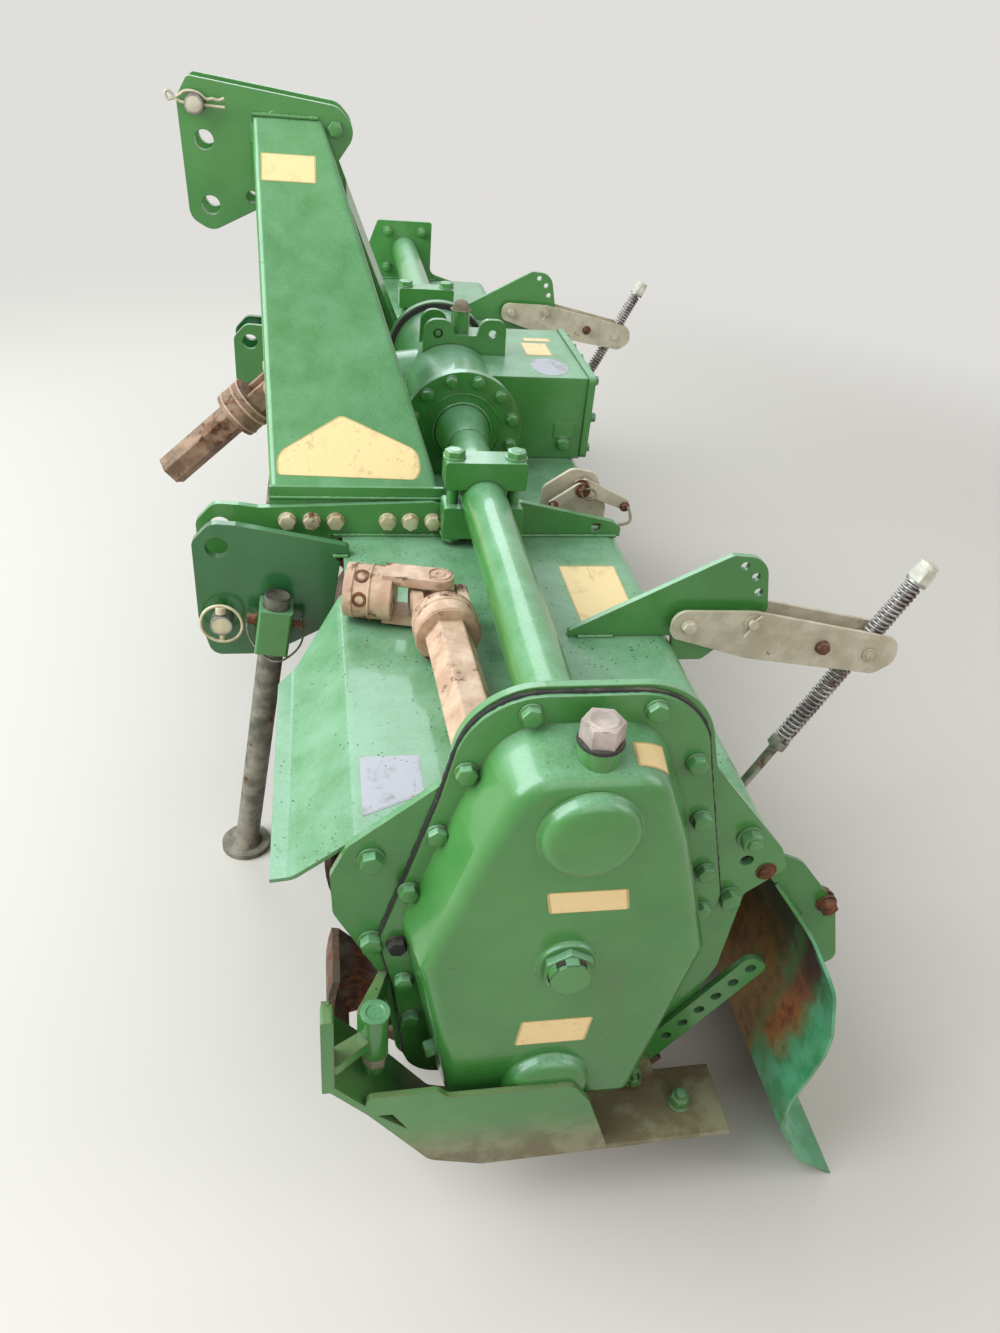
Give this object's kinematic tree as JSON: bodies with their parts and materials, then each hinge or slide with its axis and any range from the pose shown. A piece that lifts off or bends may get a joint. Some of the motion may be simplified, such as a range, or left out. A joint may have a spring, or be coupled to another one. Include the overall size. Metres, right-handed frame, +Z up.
{
  "type": "rotavator",
  "caption": "Tractor-mounted rotary tiller with an A-frame hitch, gearbox, side gear case, tined rotor under a hood, hinged rear board on spring rods, skids and stand legs.",
  "frame": {"origin": "on the floor under the middle of the machine's box, 26 mm behind the rotor axis", "axes": "+X forwards to the tractor, +Y along the rotor to the side gear case, +Z up"},
  "size_m": [1.0136, 2.176, 0.9924],
  "materials": {
    "green_paint": "faded gloss paint over steel sheet",
    "green_casting": "faded paint over rough castings",
    "galvanised_plate": "dull zinc coating",
    "spring_steel": "bare steel with light rust",
    "beige_shaft": "worn beige paint over rusting castings",
    "tine_steel": "earth-worn forged steel",
    "stand_pipe": "dark worn paint over pipe"
  },
  "bodies": {
    "root": {"hood": "green_paint", "side_plate_left": "green_paint", "side_plate_right": "green_paint", "main_tube_left": "green_paint", "main_tube_right": "green_paint", "gearbox_housing": "green_casting", "gearbox_rear_cover": "green_casting", "gearbox_top_bracket": "green_paint", "hitch_rail_left": "green_paint", "hitch_rail_right": "green_paint", "hitch_plate_left": "green_paint", "hitch_plate_right": "green_paint", "lower_pin_left": "spring_steel", "lower_pin_right": "spring_steel", "mast_leg_left": "green_paint", "mast_leg_right": "green_paint", "mast_head_plate_left": "green_paint", "mast_head_plate_right": "green_paint", "top_link_pin": "spring_steel", "mast_head_spacer": "green_paint", "tube_clamp_left": "green_paint", "tube_clamp_right": "green_paint", "gear_case": "green_paint", "bearing_housing": "green_casting", "tube_end_plate": "green_paint", "hinge_rod": "spring_steel", "spring_bracket_left": "green_paint", "spring_bracket_right": "green_paint", "spring_arms_left": "galvanised_plate", "spring_arms_right": "galvanised_plate", "stand_socket_left": "green_paint", "stand_socket_right": "green_paint", "skid_left": "green_paint", "skid_right": "green_paint", "skid_strap_left": "green_paint", "skid_strap_right": "green_paint", "input_yoke": "beige_shaft", "loose_shaft_half": "beige_shaft", "lever_bracket": "galvanised_plate"},
    "rotor": {"rotor": "tine_steel"},
    "rear_board": {"rear_board": "green_paint"},
    "trunnion_left": {"trunnion_left": "galvanised_plate"},
    "trunnion_right": {"trunnion_right": "galvanised_plate"},
    "spring_rod_left": {"spring_rod_left": "spring_steel", "upper_spring_left": "spring_steel", "lower_spring_left": "spring_steel"},
    "spring_rod_right": {"spring_rod_right": "spring_steel", "upper_spring_right": "spring_steel", "lower_spring_right": "spring_steel"},
    "stand_leg_left": {"stand_leg_left": "stand_pipe"},
    "stand_leg_right": {"stand_leg_right": "stand_pipe"},
    "hanging_shaft": {"hanging_shaft_half": "beige_shaft"}
  },
  "joints": [
    {"name": "rotor_spin", "type": "hinge", "parent": "root", "child": "rotor", "pos_m": [0.026, 0, 0.218], "axis": [0, 1, 0], "continuous": true},
    {"name": "rear_board_lift", "type": "hinge", "parent": "root", "child": "rear_board", "pos_m": [-0.187, 0, 0.431], "axis": [0, 1, 0], "range_deg": [0, 22]},
    {"name": "hanging_shaft_swing", "type": "hinge", "parent": "root", "child": "hanging_shaft", "pos_m": [0.312, 0, 0.562], "axis": [0, -1, 0], "range_deg": [0, 84]},
    {"name": "trunnion_tilt_left", "type": "hinge", "parent": "root", "child": "trunnion_left", "pos_m": [-0.44, 0.662, 0.47], "axis": [0, 1, 0], "range_deg": [0, 12]},
    {"name": "rod_slide_left", "type": "slide", "parent": "trunnion_left", "child": "spring_rod_left", "axis": [-0.4284, 0, 0.9036], "range_m": [0, 0.09], "stiffness_N_per_m": 9800, "springref_m": -0.01, "deforming": ["lower_spring_left"]},
    {"name": "stand_slide_left", "type": "slide", "parent": "root", "child": "stand_leg_left", "axis": [-0.1461, 0, 0.9893], "range_m": [0, 0.3]},
    {"name": "trunnion_tilt_right", "type": "hinge", "parent": "root", "child": "trunnion_right", "pos_m": [-0.44, -0.662, 0.47], "axis": [0, 1, 0], "range_deg": [0, 12]},
    {"name": "rod_slide_right", "type": "slide", "parent": "trunnion_right", "child": "spring_rod_right", "axis": [-0.4284, 0, 0.9036], "range_m": [0, 0.09], "stiffness_N_per_m": 9800, "springref_m": -0.01, "deforming": ["lower_spring_right"]},
    {"name": "stand_slide_right", "type": "slide", "parent": "root", "child": "stand_leg_right", "axis": [-0.1461, 0, 0.9893], "range_m": [0, 0.3]}
  ],
  "couplings": [
    {"joint": "trunnion_tilt_left", "follows": "rear_board_lift", "ratio": 0.5271},
    {"joint": "rod_slide_left", "follows": "rear_board_lift", "m_per_rad": 0.22487},
    {"joint": "trunnion_tilt_right", "follows": "rear_board_lift", "ratio": 0.5271},
    {"joint": "rod_slide_right", "follows": "rear_board_lift", "m_per_rad": 0.22487}
  ]
}
